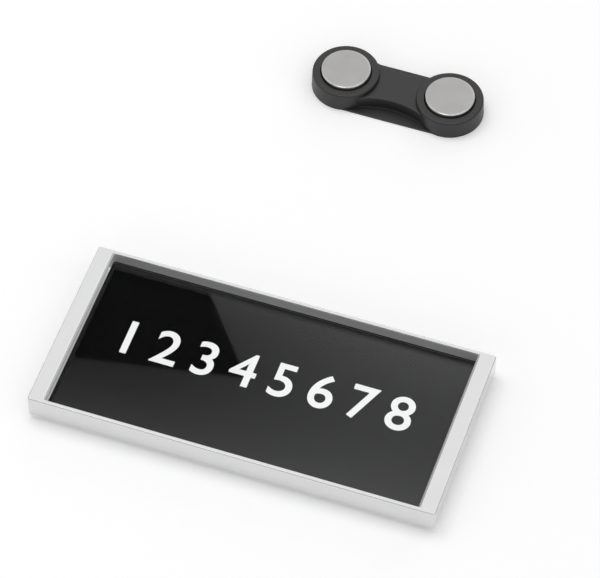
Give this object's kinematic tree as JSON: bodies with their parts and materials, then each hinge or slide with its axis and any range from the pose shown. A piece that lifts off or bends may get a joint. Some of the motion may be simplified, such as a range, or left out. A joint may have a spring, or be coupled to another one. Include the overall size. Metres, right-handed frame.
{
  "type": "name badge",
  "caption": "Rectangular name badge: bright cast frame, black insert behind a clear cover, steel pad on the back, and a black magnet bar laid apart.",
  "frame": {"origin": "middle of the steel pad's outer face, on the surface that the badge lies on", "axes": "+X along the badge, +Y towards its top edge and on to the magnet bar, +Z out of its front"},
  "size_m": [0.075, 0.0972, 0.0058],
  "materials": {
    "bright_casting": "polished and bright plated die casting",
    "black_print": "flat black print with white numbers",
    "clear_plastic": "clear glossy sheet",
    "satin_steel": "satin plated steel with rounded edges",
    "black_plastic": "fine satin moulding",
    "nickel_plate": "nickel-plated disc"
  },
  "bodies": {
    "root": {"badge_frame": "bright_casting", "insert_plate": "black_print", "clear_cover": "clear_plastic", "steel_pad": "satin_steel", "clasp_bar": "black_plastic", "magnet_left": "nickel_plate", "magnet_right": "nickel_plate"}
  },
  "joints": []
}
